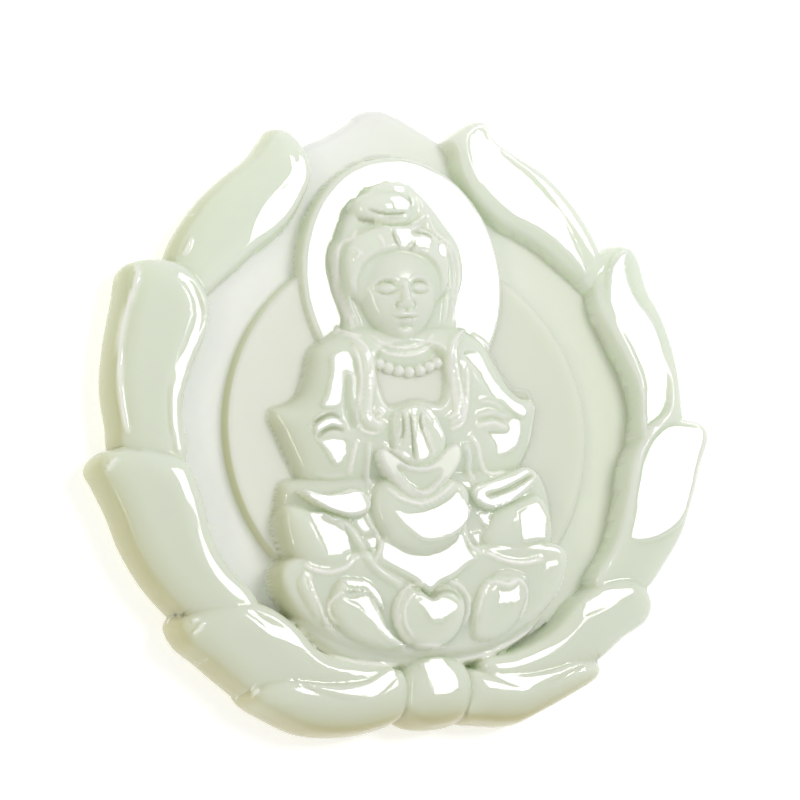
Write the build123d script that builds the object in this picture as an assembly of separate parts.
from build123d import *
import math
import os

import numpy as np
from scipy.spatial import Delaunay

# A one-piece carved pendant of pale green glass made to look like jade.
# It lies on its flat back: +Z leaves the carved face, +Y points to the pendant's top.
# All sizes are millimetres. The carving has no undercuts, so one height over the
# flat back describes it everywhere: each form raises that height over its outline.

# Heights over the flat back
FLOOR_Z = 2.2
DISC_Z = 3.3
HALO_Z = 3.9
PLATE_EDGE_Z = 1.6

# Disc and halo behind the figure
DISC_RADIUS = 15.6
DISC_CENTRE = (0.3, -1.5)
HALO_RADII = (8.8, 10.35)
HALO_CENTRE = (0.55, 10.8)
PLATE_BEVEL = 0.4
DISH_RADIUS = 20.5

# The stone's back edge is eased: how far up it starts and how far in it ends
BACK_EASE_Z = 0.6
BACK_EASE_INSET = 0.45

# Cord hole, drilled at a slant from the flat back up to the top edge
HOLE_RADIUS = 0.6
HOLE_SLANT = 28.0
HOLE_X = 0.3
HOLE_BACK_Y = 22.75
HOLE_DRILL = 14.0

# Facets: spacing of the corners along an outline and between outlines
RIM_FACETS = 300
OUTLINE_STEP = 0.8
FILL_STEP = 1.3
FILL_REACH = 30.0
# The closest that two corners may lie: outlines, then domes and rolls, then the fill
LINE_GAP = 0.3
FORM_GAP = 0.5
FILL_GAP = 0.75
RIM_GAP = 0.28
# Corners stand just outside each outline and at this share of its rounding inside it
OUTSIDE_GAP = 0.05
INSIDE_SHARE = 0.3
# Rings of corners over a dome, as shares of its radii
DOME_RINGS = (1.0, 0.93, 0.7, 0.35)

# Spacing of the corners that stand for a smooth outline when heights are found
HEIGHT_STEP = 0.5
ROLL_STEP = 0.4
RIM_STEP = 0.3

# A pillow's edge rounding takes this share of its height, and its faint crown the rest,
# over this many times the edge's width
EDGE_SHARE = 0.86
CROWN_REACH = 2.6

# A roll fades over this share of its path, down to this share of its rise at each end
ROLL_FADE = 0.15
ROLL_END = 0.25

# The ring of petals. Each lies over the next one up the ring, so its face falls from
# its free tip, at tip_z, to its root, at root_z. edge is the width of its rounding.
PETALS = [
    dict(name="upper_left", tip_z=4.5, root_z=3.7, edge=1.3, tip=(-8, 22.5), root=(-17, 11), outline=[
        (-9.4, 23.4), (-8.2, 23.4), (-7.2, 22.6), (-6.3, 21.0), (-6.1, 19.5), (-6.9, 17.7),
        (-8.6, 15.3), (-11.6, 13.0), (-14.4, 10.8), (-16.5, 9.4), (-18.7, 11.2), (-18.3, 13.7),
        (-16.2, 16.9), (-14.0, 19.1), (-11.1, 21.3), (-10.1, 22.5)]),
    dict(name="side_left", tip_z=4.6, root_z=3.7, edge=1.4, tip=(-20, 12), root=(-21, -3), outline=[
        (-22.2, 12.3), (-22.9, 9.9), (-23.9, 6.0), (-24.3, 2.9), (-24.1, 0.3), (-23.8, -2.6),
        (-21.3, -4.6), (-18.8, -4.0), (-18.1, -2.0), (-18.3, 0.8), (-17.3, 4.1), (-15.8, 7.2),
        (-15.6, 9.6), (-17.2, 12.2), (-19.0, 12.9), (-21.0, 12.9)]),
    dict(name="low_left", tip_z=4.7, root_z=3.8, edge=1.5, tip=(-24, -3.5), root=(-17, -15), outline=[
        (-26.0, -3.2), (-25.4, -4.7), (-24.5, -6.9), (-23.7, -9.4), (-22.2, -12.3), (-20.4, -14.6),
        (-18.2, -16.6), (-14.8, -16.4), (-13.4, -15.0), (-14.1, -13.2), (-15.7, -11.4),
        (-16.8, -9.0), (-17.4, -5.8), (-18.6, -3.0), (-20.6, -2.1), (-23.4, -1.8), (-25.2, -2.1)]),
    dict(name="foot_left", tip_z=4.7, root_z=4.0, edge=1.4, tip=(-19, -16), root=(-6, -20), outline=[
        (-20.6, -15.3), (-20.1, -17.0), (-18.5, -18.5), (-16.6, -20.3), (-14.9, -21.6),
        (-9.0, -21.4), (-3.4, -20.9), (-3.2, -19.9), (-6.7, -19.0), (-9.2, -18.0), (-11.0, -15.9),
        (-13.2, -14.3), (-15.8, -13.8), (-18.4, -14.1)]),
    dict(name="base_left", tip_z=4.6, root_z=4.3, edge=1.5, tip=(-14.5, -21.5), root=(-4, -22), outline=[
        (-15.6, -21.2), (-15.1, -22.0), (-13.2, -23.3), (-10.9, -24.5), (-8.2, -25.0), (-5.4, -24.9),
        (-2.7, -24.0), (-2.0, -22.0), (-2.6, -20.0), (-5.4, -20.2), (-9.2, -20.2), (-12.6, -19.7),
        (-14.6, -20.2)]),
    dict(name="upper_right", tip_z=4.5, root_z=3.7, edge=1.4, tip=(8, 23), root=(17.5, 11), outline=[
        (5.9, 22.8), (7.3, 23.7), (8.6, 24.2), (9.4, 23.8), (9.9, 22.5), (11.6, 21.3), (14.2, 19.6),
        (16.4, 17.2), (18.2, 14.3), (19.1, 11.2), (17.6, 9.4), (15.6, 11.0), (12.8, 13.4),
        (9.4, 15.4), (7.4, 17.5), (6.2, 20.0), (6.0, 21.7)]),
    dict(name="side_right", tip_z=4.6, root_z=3.7, edge=1.4, tip=(21, 12.5), root=(22, -3), outline=[
        (20.4, 13.7), (21.9, 13.4), (22.5, 12.0), (22.8, 9.9), (23.9, 7.2), (24.6, 3.6),
        (24.6, 0.4), (24.0, -3.0), (21.6, -4.2), (19.7, -3.4), (20.1, -0.6), (19.8, 1.9),
        (18.5, 5.2), (17.3, 8.2), (17.4, 10.4), (18.4, 12.8)]),
    dict(name="low_right", tip_z=4.7, root_z=3.8, edge=1.5, tip=(25, -3), root=(17, -15), outline=[
        (24.6, -1.4), (26.0, -1.9), (26.5, -3.1), (25.6, -5.3), (24.7, -7.8), (23.2, -11.1),
        (21.3, -13.6), (19.6, -15.4), (17.2, -16.2), (14.6, -15.8), (14.3, -14.3), (16.3, -11.5),
        (17.7, -8.0), (18.7, -4.6), (20.2, -2.5), (22.3, -1.5)]),
    dict(name="foot_right", tip_z=4.7, root_z=4.0, edge=1.4, tip=(18.5, -16), root=(6, -20), outline=[
        (19.5, -15.2), (19.9, -16.8), (19.2, -18.1), (17.0, -19.3), (14.6, -20.9), (9.6, -21.5),
        (4.3, -21.0), (3.8, -19.8), (6.8, -19.3), (10.1, -18.0), (12.8, -15.7), (15.2, -14.3),
        (17.6, -14.1)]),
    dict(name="base_right", tip_z=4.6, root_z=4.3, edge=1.5, tip=(13.5, -21.5), root=(4, -22), outline=[
        (2.1, -24.5), (4.3, -25.1), (7.0, -25.3), (9.4, -24.5), (12.1, -23.4), (14.3, -22.3),
        (14.8, -21.3), (13.6, -20.3), (10.5, -20.5), (7.6, -21.0), (4.6, -20.6), (2.8, -20.4),
        (2.2, -22.4)]),
    dict(name="bud", tip_z=5.0, root_z=5.0, edge=2.4, tip=(0, -25), root=(0, -19), outline=[
        (-2.8, -20.0), (-3.3, -21.8), (-3.3, -23.6), (-2.1, -24.7), (0.2, -25.1), (2.4, -24.6),
        (3.3, -23.2), (3.5, -21.6), (2.9, -19.9), (1.2, -19.0), (-1.0, -18.9)]),
]

# Top plate behind the halo, with the small lobe that takes the cord hole
TOP_PLATE = dict(edge=0.5, outline=[
    (7.0, 21.6), (5.4, 22.7), (3.2, 24.1), (2.0, 24.8), (0.4, 25.1), (-1.2, 24.9), (-2.7, 23.9),
    (-4.4, 23.0), (-6.6, 21.9), (-9.0, 16.0), (0.0, 12.0), (9.0, 16.0)])

LOBE = dict(low_z=2.2, high_z=2.5, edge=0.5, outline=[
    (-1.9, 24.5), (-1.0, 25.1), (0.2, 25.3), (1.3, 25.1), (1.9, 24.6), (1.2, 24.1), (0.1, 23.9),
    (-1.1, 24.1)])

# Masses of the figure that lie lowest. Each rises from low_z to high_z over its outline.
LOW_MASSES = [
    dict(name="lotus_seat", low_z=3.0, high_z=5.4, edge=2.2, outline=[
        (-12.0, -11.2), (-12.6, -12.6), (-12.0, -14.4), (-10.6, -16.2), (-8.2, -17.9), (-4.8, -19.2),
        (0.0, -19.6), (4.8, -19.2), (8.0, -17.8), (10.4, -16.1), (11.7, -14.2), (12.2, -12.4),
        (11.6, -11.2), (6.0, -10.6), (0.0, -11.0), (-6.0, -10.6)]),
    dict(name="folded_legs", low_z=3.1, high_z=5.5, edge=2.0, outline=[
        (-9.6, -4.6), (-11.3, -4.9), (-12.0, -6.4), (-12.2, -9.0), (-11.7, -11.0), (-9.6, -12.4),
        (-6.6, -12.4), (-3.8, -12.8), (0.0, -14.0), (3.8, -12.8), (6.6, -12.4), (9.4, -12.4),
        (11.3, -11.0), (11.8, -9.0), (11.5, -6.4), (10.7, -4.9), (9.2, -4.6), (0.0, -4.0)]),
    dict(name="robe", low_z=3.1, high_z=5.7, edge=2.3, outline=[
        (-4.6, 7.4), (-6.3, 6.5), (-8.0, 5.4), (-8.6, 3.8), (-9.4, 1.9), (-10.4, 1.2), (-11.6, 0.9),
        (-12.0, 0.1), (-11.5, -1.3), (-10.7, -3.4), (-9.6, -5.4), (-6.0, -6.4), (0.0, -7.0),
        (6.0, -6.2), (9.0, -5.2), (10.4, -3.2), (11.0, -1.2), (11.3, 0.2), (10.8, 0.9), (9.8, 1.1),
        (8.9, 2.0), (7.9, 3.8), (7.1, 5.3), (5.8, 6.3), (4.4, 7.2), (0.0, 7.6)]),
]

# Masses that lie over the seat's petals and the robe
HIGH_MASSES = [
    dict(name="hood", low_z=3.9, high_z=5.9, edge=1.4, outline=[
        (-5.1, 7.0), (-5.3, 8.2), (-6.1, 10.6), (-6.3, 12.2), (-6.0, 13.4), (-5.1, 15.0),
        (-4.2, 16.4), (-2.8, 17.7), (-0.6, 18.5), (0.9, 18.3), (2.8, 16.7), (3.9, 15.0),
        (4.9, 13.5), (5.0, 12.2), (4.6, 10.4), (4.1, 8.4), (4.0, 7.0), (2.6, 5.8), (-3.6, 5.8)]),
    dict(name="lap", low_z=4.8, high_z=6.4, edge=1.6, outline=[
        (-4.5, -6.5), (-4.7, -7.9), (-4.0, -9.7), (-2.4, -11.3), (-0.8, -11.8), (0.9, -11.5),
        (2.5, -10.6), (3.8, -7.9), (3.7, -6.4), (0.9, -5.0), (-2.0, -5.0), (-3.7, -5.4)]),
    dict(name="left_cuff", low_z=5.2, high_z=6.1, edge=0.6, outline=[
        (-10.4, -5.9), (-8.4, -6.4), (-6.2, -6.0), (-5.3, -6.3), (-4.7, -7.2), (-5.9, -8.3),
        (-7.5, -7.9), (-9.0, -7.2)]),
    dict(name="right_cuff", low_z=5.2, high_z=6.1, edge=0.6, outline=[
        (3.9, -6.8), (5.6, -6.0), (7.2, -5.5), (8.8, -5.0), (9.7, -5.5), (9.5, -6.4), (8.0, -7.5),
        (5.5, -8.3), (4.3, -7.7)]),
    dict(name="hands", low_z=5.4, high_z=6.6, edge=1.0, outline=[
        (-2.7, -2.9), (-2.6, -1.2), (-1.4, 0.2), (-0.4, 0.35), (0.6, 0.15), (1.8, -1.5),
        (2.1, -2.8), (1.6, -3.9), (0.6, -4.7), (-0.6, -5.0), (-1.8, -4.5), (-2.6, -3.8)]),
    dict(name="scarf", low_z=5.8, high_z=6.7, edge=0.6, outline=[
        (-3.95, -3.4), (-3.5, -3.05), (-2.8, -3.5), (-1.7, -4.35), (-0.6, -4.6), (0.3, -4.45),
        (1.8, -3.3), (2.6, -2.95), (3.05, -3.2), (3.15, -3.9), (2.2, -5.5), (0.5, -6.85),
        (-0.6, -7.2), (-1.6, -7.1), (-3.2, -5.4), (-3.8, -4.4)]),
]

# Domes: an ellipsoid cap over base_z, turned anticlockwise by turn degrees
DOMES = [
    dict(name="left_knee", centre=(-8.7, -9.6), radii=(3.2, 2.9), turn=-20, base_z=4.9, rise=1.1),
    dict(name="right_knee", centre=(7.8, -9.8), radii=(3.2, 2.9), turn=20, base_z=4.9, rise=1.1),
    dict(name="left_sleeve", centre=(-7.7, 0.4), radii=(2.8, 5.4), turn=-16, base_z=4.7, rise=1.3),
    dict(name="right_sleeve", centre=(7.3, 0.4), radii=(2.8, 5.4), turn=16, base_z=4.7, rise=1.3),
    dict(name="neck", centre=(-0.7, 5.4), radii=(2.9, 2.2), turn=0, base_z=4.8, rise=1.1),
    dict(name="skull", centre=(-0.7, 11.4), radii=(4.5, 4.2), turn=0, base_z=5.3, rise=1.6),
    dict(name="face", centre=(-0.7, 9.4), radii=(3.2, 4.3), turn=0, base_z=5.0, rise=2.2),
    dict(name="hair_knot", centre=(-1.3, 16.1), radii=(2.6, 1.6), turn=0, base_z=5.5, rise=1.3),
]

# Chest panel sunk between the collars
CHEST = dict(z=5.2, edge=0.7, outline=[
    (-3.1, 4.8), (-3.1, 0.7), (-2.4, 0.1), (0.0, 0.4), (2.0, 0.1), (2.7, 0.7), (2.6, 4.8)])

# Collars: rolls of cloth raised along a path
COLLARS = [
    dict(name="left_collar", width=0.65, rise=0.4, path=[
        (-5.3, 6.0), (-4.5, 5.2), (-4.1, 3.9), (-4.1, 2.4), (-4.5, 0.0), (-4.3, -0.9), (-2.9, -1.5)]),
    dict(name="right_collar", width=0.65, rise=0.4, path=[
        (4.6, 6.0), (3.7, 5.4), (3.3, 4.4), (3.3, 3.0), (3.6, 0.2), (3.4, -0.7), (2.5, -1.2)]),
]

# Heart-topped petals carved on the seat
SEAT_PETALS = [
    dict(name="left_outer", low_z=4.2, high_z=5.5, edge=0.8, outline=[
        (-10.9, -12.2), (-9.8, -12.6), (-9.2, -14.2), (-8.9, -15.6), (-8.3, -17.1), (-9.6, -16.4),
        (-10.9, -14.6), (-11.4, -13.0)]),
    dict(name="right_outer", low_z=4.2, high_z=5.5, edge=0.8, outline=[
        (10.8, -12.0), (9.6, -12.5), (8.9, -13.6), (8.6, -15.2), (8.3, -17.1), (9.7, -16.2),
        (11.0, -14.4), (11.4, -12.8)]),
    dict(name="left", low_z=4.6, high_z=6.0, edge=0.9, outline=[
        (-7.8, -13.0), (-6.5, -12.9), (-5.3, -13.5), (-4.5, -14.6), (-4.3, -15.8), (-3.7, -17.3),
        (-2.4, -18.8), (-4.6, -18.7), (-6.5, -18.0), (-8.3, -16.5), (-8.8, -15.4), (-8.3, -13.5)]),
    dict(name="right", low_z=4.6, high_z=6.0, edge=0.9, outline=[
        (5.2, -13.3), (6.3, -13.0), (7.6, -13.4), (8.2, -14.3), (7.8, -15.9), (6.8, -17.5),
        (4.9, -18.6), (3.0, -18.4), (2.9, -17.0), (3.2, -15.5), (4.0, -14.1)]),
    dict(name="middle", low_z=4.8, high_z=6.3, edge=0.9, outline=[
        (-0.35, -14.6), (-1.1, -13.95), (-2.1, -13.9), (-3.1, -14.5), (-3.6, -15.8), (-3.4, -17.1),
        (-2.6, -18.3), (-0.7, -19.0), (0.9, -18.6), (2.1, -17.4), (2.6, -15.8), (2.3, -14.8),
        (1.4, -14.0), (0.4, -14.0)]),
]


def smooth_loop(points, step):
    """A smooth closed line through the points, as corners about one step apart."""
    pts = np.array(points, float)
    line = []
    for i in range(len(pts)):
        p0, p1, p2, p3 = (pts[(i + k) % len(pts)] for k in (-1, 0, 1, 2))
        line += span(p0, p1, p2, p3, step)
    return np.array(line)


def smooth_path(points, step):
    """The same for an open line."""
    pts = np.array(points, float)
    pts = np.vstack([2 * pts[0] - pts[1], pts, 2 * pts[-1] - pts[-2]])
    line = []
    for i in range(1, len(pts) - 2):
        line += span(pts[i - 1], pts[i], pts[i + 1], pts[i + 2], step)
    return np.array(line + [pts[-2]])


def span(p0, p1, p2, p3, step):
    """One Catmull-Rom span from p1 to p2, with knots at the roots of the chords."""
    t1 = math.sqrt(np.linalg.norm(p1 - p0))
    t2 = t1 + math.sqrt(np.linalg.norm(p2 - p1))
    t3 = t2 + math.sqrt(np.linalg.norm(p3 - p2))
    count = max(1, round(float(np.linalg.norm(p2 - p1)) / step))
    out = []
    for t in np.linspace(t1, t2, count, endpoint=False):
        a1 = p0 + (p1 - p0) * t / t1
        a2 = p1 + (p2 - p1) * (t - t1) / (t2 - t1)
        a3 = p2 + (p3 - p2) * (t - t2) / (t3 - t2)
        b1 = a1 + (a2 - a1) * t / t2
        b2 = a2 + (a3 - a2) * (t - t1) / (t3 - t1)
        out.append(b1 + (b2 - b1) * (t - t1) / (t2 - t1))
    return out


def inside(loop, xy):
    """True for each place that lies inside the closed line."""
    x, y = xy[:, 0], xy[:, 1]
    hit = np.zeros(len(xy), bool)
    for (x0, y0), (x1, y1) in zip(loop, np.roll(loop, -1, axis=0)):
        crosses = (y0 > y) != (y1 > y)
        if y0 != y1:
            hit ^= crosses & (x < x0 + (y - y0) * (x1 - x0) / (y1 - y0))
    return hit


def depth_inside(loop, xy):
    """Distance in from the line, smoothed so that no ridge shows where two sides meet."""
    pull = np.zeros(len(xy))
    for a, b in zip(loop, np.roll(loop, -1, axis=0)):
        along = (b - a) / np.linalg.norm(b - a)
        s0 = (a - xy) @ along
        s1 = (b - xy) @ along
        off2 = np.maximum(((a - xy) ** 2).sum(axis=1) - s0 ** 2, 1e-6)
        pull += (s1 / np.sqrt(s1 ** 2 + off2) - s0 / np.sqrt(s0 ** 2 + off2)) / off2
    return np.sqrt(2 / np.maximum(pull, 1e-9))


def rounding(t):
    """Quarter-ellipse profile, from 0 at the line to 1 at full depth."""
    t = np.clip(t, 0, 1)
    return np.sqrt(1 - (1 - t) ** 2)


def pillow(depth, edge):
    """A quick rounding at the edge and a faint crown further in."""
    crown = rounding(depth / (CROWN_REACH * edge))
    return EDGE_SHARE * rounding(depth / edge) + (1 - EDGE_SHARE) * crown


def raise_mass(z, xy, outline, low, high, edge):
    """Raise the surface to a pillow over a smooth outline. high may vary over the places."""
    loop = smooth_loop(outline, HEIGHT_STEP)
    near = np.all((xy > loop.min(axis=0)) & (xy < loop.max(axis=0)), axis=1)
    index = np.flatnonzero(near)
    index = index[inside(loop, xy[index])]
    top = np.broadcast_to(high, len(xy))[index]
    depth = depth_inside(loop, xy[index])
    z[index] = np.maximum(z[index], low + (top - low) * pillow(depth, edge))


def sink_panel(z, xy, outline, level, edge):
    """Sink the surface to a level inside an outline."""
    loop = smooth_loop(outline, HEIGHT_STEP)
    index = np.flatnonzero(inside(loop, xy))
    share = np.clip(depth_inside(loop, xy[index]) / edge, 0, 1)
    share = share * share * (3 - 2 * share)
    z[index] = np.minimum(z[index], z[index] + (level - z[index]) * share)


def raise_dome(z, xy, centre, radii, turn, base, rise):
    """Raise the surface to an ellipsoid cap."""
    a = math.radians(turn)
    offset = xy - np.array(centre)
    u = (offset[:, 0] * math.cos(a) + offset[:, 1] * math.sin(a)) / radii[0]
    v = (offset[:, 1] * math.cos(a) - offset[:, 0] * math.sin(a)) / radii[1]
    left = 1 - u ** 2 - v ** 2
    index = np.flatnonzero(left > 0)
    z[index] = np.maximum(z[index], base + rise * np.sqrt(left[index]))


def raise_roll(z, xy, path, width, rise):
    """Add a soft ridge along a path, fading at both ends."""
    line = smooth_path(path, ROLL_STEP)
    best = np.full(len(xy), 1e9)
    where = np.zeros(len(xy))
    last = len(line) - 2
    for i, (a, b) in enumerate(zip(line[:-1], line[1:])):
        t = np.clip((xy - a) @ (b - a) / ((b - a) @ (b - a)), 0, 1)
        gap = np.linalg.norm(xy - a - t[:, None] * (b - a), axis=1)
        closer = gap < best
        best[closer] = gap[closer]
        where[closer] = (i + t[closer]) / (last + 1)
    swell = np.clip(1 - (best / width) ** 2, 0, 1) ** 2
    fade = np.clip(np.minimum(where, 1 - where) / ROLL_FADE, ROLL_END, 1)
    z += rise * swell * fade


def along(xy, root, tip):
    """Share of the way from the root, 0, to the tip, 1."""
    root, tip = np.array(root, float), np.array(tip, float)
    return np.clip((xy - root) @ (tip - root) / ((tip - root) @ (tip - root)), 0, 1)


def plate_height(xy, centre, radii, top):
    """Height of a flat round plate with a rounded edge, and 0 outside it."""
    reach = np.hypot((xy[:, 0] - centre[0]) / radii[0], (xy[:, 1] - centre[1]) / radii[1])
    depth = (1 - reach) * min(radii)
    return np.where(depth > 0, FLOOR_Z + (top - FLOOR_Z) * rounding(depth / PLATE_BEVEL), 0)


def height(xy):
    """Height of the carved face over the flat back at each place."""
    z = np.full(len(xy), PLATE_EDGE_Z)
    raise_mass(z, xy, TOP_PLATE["outline"], PLATE_EDGE_Z, FLOOR_Z, TOP_PLATE["edge"])
    raise_mass(z, xy, LOBE["outline"], LOBE["low_z"], LOBE["high_z"], LOBE["edge"])
    dish = np.hypot(*xy.T) < DISH_RADIUS
    z[dish] = FLOOR_Z
    z = np.maximum(z, plate_height(xy, DISC_CENTRE, (DISC_RADIUS, DISC_RADIUS), DISC_Z))
    z = np.maximum(z, plate_height(xy, HALO_CENTRE, HALO_RADII, HALO_Z))
    for p in PETALS:
        face = p["root_z"] + (p["tip_z"] - p["root_z"]) * along(xy, p["root"], p["tip"])
        raise_mass(z, xy, p["outline"], FLOOR_Z, face, p["edge"])
    for m in LOW_MASSES + SEAT_PETALS:
        raise_mass(z, xy, m["outline"], m["low_z"], m["high_z"], m["edge"])
    sink_panel(z, xy, CHEST["outline"], CHEST["z"], CHEST["edge"])
    for m in HIGH_MASSES:
        raise_mass(z, xy, m["outline"], m["low_z"], m["high_z"], m["edge"])
    for d in DOMES:
        raise_dome(z, xy, d["centre"], d["radii"], d["turn"], d["base_z"], d["rise"])
    for r in COLLARS:
        raise_roll(z, xy, r["path"], r["width"], r["rise"])
    return z


def rim(count):
    """The pendant's outline: the farthest petal or plate edge in each direction."""
    loops = [smooth_loop(p["outline"], RIM_STEP) for p in PETALS + [LOBE, TOP_PLATE]]
    out = []
    for k in range(count):
        way = np.array([math.sin(2 * math.pi * k / count), math.cos(2 * math.pi * k / count)])
        side = np.array([way[1], -way[0]])
        reach = 0.0
        for loop in loops:
            off = loop @ side
            far = loop @ way
            off2, far2 = np.roll(off, -1), np.roll(far, -1)
            cut = (off > 0) != (off2 > 0)
            if cut.any():
                t = off[cut] / (off[cut] - off2[cut])
                reach = max(reach, float((far[cut] + t * (far2[cut] - far[cut])).max()))
        out.append(reach * way)
    return np.array(out)


def offset_loop(loop, gap):
    """The closed line moved in by gap, or out where gap is negative."""
    ahead = np.roll(loop, -1, axis=0) - np.roll(loop, 1, axis=0)
    normal = np.c_[-ahead[:, 1], ahead[:, 0]] / np.linalg.norm(ahead, axis=1)[:, None]
    area = (loop[:, 0] * np.roll(loop[:, 1], -1) - np.roll(loop[:, 0], -1) * loop[:, 1]).sum()
    return loop + normal * gap * (1 if area > 0 else -1)


def ellipse(centre, radii, step):
    count = round(math.pi * (radii[0] + radii[1]) / step)
    angle = np.arange(count) * 2 * math.pi / count
    return np.c_[centre[0] + radii[0] * np.cos(angle), centre[1] + radii[1] * np.sin(angle)]


def facet_points(edge_line):
    """Places for the corners of the facets, closest round the carved outlines."""
    lines, forms = [], []
    for centre, radii in ((DISC_CENTRE, (DISC_RADIUS, DISC_RADIUS)), (HALO_CENTRE, HALO_RADII)):
        loop = ellipse(centre, radii, OUTLINE_STEP)
        lines += [offset_loop(loop, -OUTSIDE_GAP), offset_loop(loop, PLATE_BEVEL)]
    for m in PETALS + LOW_MASSES + SEAT_PETALS + HIGH_MASSES + [CHEST, LOBE]:
        loop = smooth_loop(m["outline"], OUTLINE_STEP)
        lines += [offset_loop(loop, -OUTSIDE_GAP), offset_loop(loop, INSIDE_SHARE * m["edge"])]
        forms.append(offset_loop(loop, m["edge"]))
    for d in DOMES:
        for share in DOME_RINGS:
            loop = ellipse((0, 0), [share * r for r in d["radii"]], OUTLINE_STEP)
            a = math.radians(d["turn"])
            turned = np.c_[loop[:, 0] * math.cos(a) - loop[:, 1] * math.sin(a),
                           loop[:, 0] * math.sin(a) + loop[:, 1] * math.cos(a)]
            forms.append(turned + np.array(d["centre"]))
    for r in COLLARS:
        line = smooth_path(r["path"], OUTLINE_STEP)
        ahead = np.gradient(line, axis=0)
        side = np.c_[-ahead[:, 1], ahead[:, 0]] / np.linalg.norm(ahead, axis=1)[:, None]
        forms += [line, line + side * r["width"], line - side * r["width"]]
    cells = np.arange(-FILL_REACH, FILL_REACH, FILL_STEP)
    gx, gy = np.meshgrid(cells, cells)
    gx[::2] += FILL_STEP / 2
    fill = [np.c_[gx.ravel(), gy.ravel()]]

    kept = edge_line.copy()
    within = offset_loop(edge_line, RIM_GAP)
    for groups, gap in ((lines, LINE_GAP), (forms, FORM_GAP), (fill, FILL_GAP)):
        for group in groups:
            for place in group[inside(within, group)]:
                if np.hypot(*(kept - place).T).min() >= gap:
                    kept = np.vstack([kept, place])
    return kept


def carved_solid():
    """The closed stone: faceted face, upright side wall, eased back edge and one flat back."""
    edge_line = rim(RIM_FACETS)
    xy = facet_points(edge_line)
    z = height(xy)
    net = Delaunay(xy).simplices
    middle = xy[net].mean(axis=1)
    net = net[inside(edge_line, middle)]
    corners = [Vector(float(x), float(y), float(h)) for (x, y), h in zip(xy, z)]
    count = len(edge_line)
    inward = 1 - BACK_EASE_INSET / np.linalg.norm(edge_line, axis=1)
    waist = [Vector(float(x), float(y), BACK_EASE_Z) for x, y in edge_line]
    feet = [Vector(float(x), float(y), 0) for x, y in edge_line * inward[:, None]]
    loops = [[corners[i] for i in row] for row in net]
    for i in range(count):
        j = (i + 1) % count
        loops += [[waist[i], waist[j], corners[j], corners[i]],
                  [feet[i], feet[j], waist[j]], [feet[i], waist[j], waist[i]]]
    loops.append(feet)
    faces = [Face(Wire.make_polygon(loop, close=True)) for loop in loops]
    print("facets", len(faces), "corners", len(xy))
    return Solid(Shell(faces))


def cord_hole():
    """A slanted drill from the back up through the top edge."""
    lean = Rot(X=HOLE_SLANT - 90)
    return Pos(HOLE_X, HOLE_BACK_Y, 0) * lean * Cylinder(HOLE_RADIUS, HOLE_DRILL)


os.makedirs("parts", exist_ok=True)
pendant = carved_solid() - cord_hole()
box = pendant.bounding_box()
pendant = Pos(-box.center().X, -box.center().Y, 0) * pendant
pendant.label = "carved_pendant"
export_step(pendant, "parts/carved_pendant.step")
print("shifted by", box.center(), "volume", round(pendant.volume, 1), "valid", pendant.is_valid)
